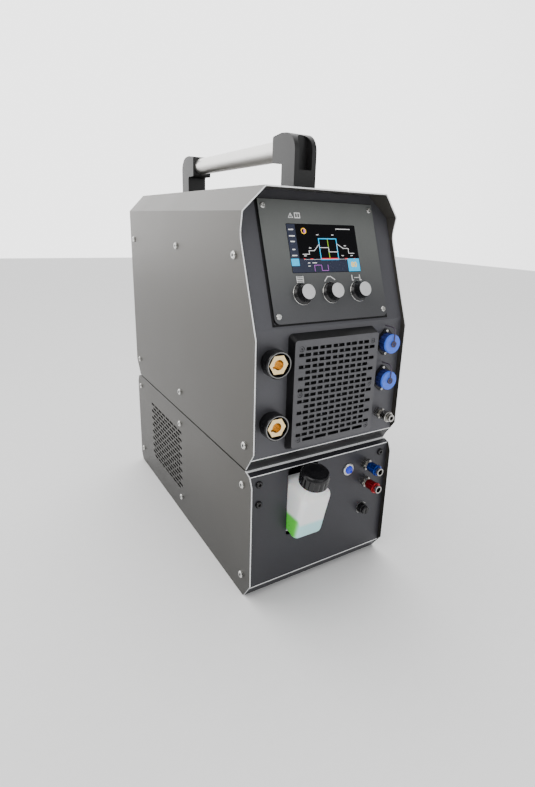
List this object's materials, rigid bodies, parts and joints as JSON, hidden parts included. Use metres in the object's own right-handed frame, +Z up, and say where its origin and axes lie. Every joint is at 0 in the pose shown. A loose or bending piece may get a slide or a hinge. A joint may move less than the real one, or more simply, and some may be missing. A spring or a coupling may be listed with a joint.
{
  "type": "tig welding machine",
  "caption": "Portable TIG welding power source on its own water cooler, with sloping control panel, carrying handle, front bottle and quick couplers.",
  "frame": {"origin": "on the floor, below the centre of the base", "axes": "+Z up, -Y towards the control panel side, +X to the right seen from the front"},
  "size_m": [0.246, 0.5486, 0.6179],
  "materials": {
    "cover_paint": "satin",
    "panel_paint": "satin",
    "plate_paint": "satin",
    "black_plastic": "matte",
    "red_plastic": "gloss",
    "glass": "gloss",
    "circuit_board": "satin",
    "brass": "satin",
    "blue_plastic": "satin",
    "grey_cord": "matte",
    "nickel": "satin",
    "black_metal": "satin",
    "aluminium": "brushed",
    "steel": "satin",
    "can_sleeve": "gloss",
    "copper": "satin",
    "bottle_plastic": "satin",
    "coolant_green": "gloss",
    "rubber": "matte",
    "blue_light": "gloss",
    "blue_anodised": "satin",
    "red_anodised": "satin",
    "pump_paint": "satin"
  },
  "bodies": {
    "root": {"upper_cover": "cover_paint", "lower_cover": "cover_paint", "upper_front_panel": "panel_paint", "lower_front_panel": "panel_paint", "upper_rear_panel": "panel_paint", "lower_rear_panel": "panel_paint", "upper_tray": "panel_paint", "lower_tray": "panel_paint", "control_plate": "plate_paint", "encoder_bodies": "black_plastic", "front_grille": "black_plastic", "socket_collars": "black_plastic", "connector_shells": "black_plastic", "handle_front_post": "black_plastic", "handle_rear_post": "black_plastic", "main_fan_frame": "black_plastic", "cooler_fan_frame": "black_plastic", "switch_housing": "black_plastic", "cable_gland": "black_plastic", "fuse_holder": "black_plastic", "display_module": "black_plastic", "display_glass": "glass", "control_board": "circuit_board", "power_board": "circuit_board", "socket_contacts": "brass", "socket_nuts": "brass", "cap_tethers": "grey_cord", "gas_outlet_body": "nickel", "coupler_bodies": "nickel", "gas_valve": "nickel", "button_housing": "nickel", "handle_tube": "aluminium", "heatsinks": "aluminium", "radiator": "aluminium", "handle_bolts": "steel", "cover_screws": "steel", "panel_screws": "steel", "bottle_cradle": "steel", "main_transformer": "steel", "capacitors": "can_sleeve", "output_choke": "copper", "coolant_bottle": "bottle_plastic", "coolant": "coolant_green", "inner_hoses": "rubber", "pump": "pump_paint"},
    "knob_left": {"knob_left": "black_plastic"},
    "knob_centre": {"knob_centre": "black_plastic"},
    "knob_right": {"knob_right": "black_plastic"},
    "main_fan_rotor": {"main_fan_rotor": "black_plastic"},
    "cooler_fan_rotor": {"cooler_fan_rotor": "black_plastic"},
    "connector_cap_upper": {"connector_cap_upper": "blue_plastic"},
    "connector_cap_lower": {"connector_cap_lower": "blue_plastic"},
    "gas_outlet_sleeve": {"gas_outlet_sleeve": "black_metal"},
    "coupler_sleeve_supply": {"coupler_sleeve_supply": "blue_anodised"},
    "coupler_sleeve_return": {"coupler_sleeve_return": "red_anodised"},
    "button_plunger": {"button_plunger": "blue_light"},
    "fuse_cap": {"fuse_cap": "black_plastic"},
    "bottle_cap_seal": {"bottle_cap_seal": "rubber"},
    "bottle_cap": {"bottle_cap": "black_plastic"},
    "switch_rocker": {"switch_rocker": "red_plastic"}
  },
  "joints": [
    {"name": "knob_left_turn", "type": "hinge", "parent": "root", "child": "knob_left", "pos_m": [-0.0447, -0.22911, 0.41915], "axis": [0, -0.9397, 0.342], "continuous": true},
    {"name": "knob_centre_turn", "type": "hinge", "parent": "root", "child": "knob_centre", "pos_m": [0, -0.22911, 0.41915], "axis": [0, -0.9397, 0.342], "continuous": true},
    {"name": "knob_right_turn", "type": "hinge", "parent": "root", "child": "knob_right", "pos_m": [0.0447, -0.22911, 0.41915], "axis": [0, -0.9397, 0.342], "continuous": true},
    {"name": "main_fan_spin", "type": "hinge", "parent": "root", "child": "main_fan_rotor", "pos_m": [0, 0.2395, 0.3], "axis": [0, 1, 0], "continuous": true},
    {"name": "cooler_fan_spin", "type": "hinge", "parent": "root", "child": "cooler_fan_rotor", "pos_m": [0, 0.2395, 0.098], "axis": [0, 1, 0], "continuous": true},
    {"name": "connector_cap_upper_turn", "type": "hinge", "parent": "root", "child": "connector_cap_upper", "pos_m": [0.091, -0.243, 0.3496], "axis": [0, -1, 0], "range_deg": [0, 90]},
    {"name": "connector_cap_lower_turn", "type": "hinge", "parent": "root", "child": "connector_cap_lower", "pos_m": [0.091, -0.243, 0.297], "axis": [0, -1, 0], "range_deg": [0, 90]},
    {"name": "gas_sleeve_pull", "type": "slide", "parent": "root", "child": "gas_outlet_sleeve", "axis": [0, 1, 0], "range_m": [0, 0.003], "stiffness_N_per_m": 600, "springref_m": -0.002},
    {"name": "supply_sleeve_pull", "type": "slide", "parent": "root", "child": "coupler_sleeve_supply", "axis": [0, 1, 0], "range_m": [0, 0.003], "stiffness_N_per_m": 600, "springref_m": -0.002},
    {"name": "return_sleeve_pull", "type": "slide", "parent": "root", "child": "coupler_sleeve_return", "axis": [0, 1, 0], "range_m": [0, 0.003], "stiffness_N_per_m": 600, "springref_m": -0.002},
    {"name": "button_press", "type": "slide", "parent": "root", "child": "button_plunger", "axis": [0, 1, 0], "range_m": [0, 0.002], "stiffness_N_per_m": 600, "springref_m": -0.002},
    {"name": "fuse_cap_turn", "type": "hinge", "parent": "root", "child": "fuse_cap", "pos_m": [0.0764, -0.241, 0.0895], "axis": [0, -1, 0], "range_deg": [0, 90]},
    {"name": "bottle_cap_lift", "type": "slide", "parent": "root", "child": "bottle_cap_seal", "axis": [0, -0.2588, 0.9659], "range_m": [0, 0.0061]},
    {"name": "bottle_cap_turn", "type": "hinge", "parent": "bottle_cap_seal", "child": "bottle_cap", "pos_m": [-0.035, -0.26611, 0.17809], "axis": [0, -0.2588, 0.9659], "range_deg": [0, 540]},
    {"name": "rocker_press", "type": "hinge", "parent": "root", "child": "switch_rocker", "pos_m": [0.07, 0.2345, 0.47], "axis": [-1, 0, 0], "range_deg": [0, 24]}
  ],
  "couplings": [
    {"joint": "bottle_cap_lift", "follows": "bottle_cap_turn", "m_per_rad": 0.00063662}
  ]
}
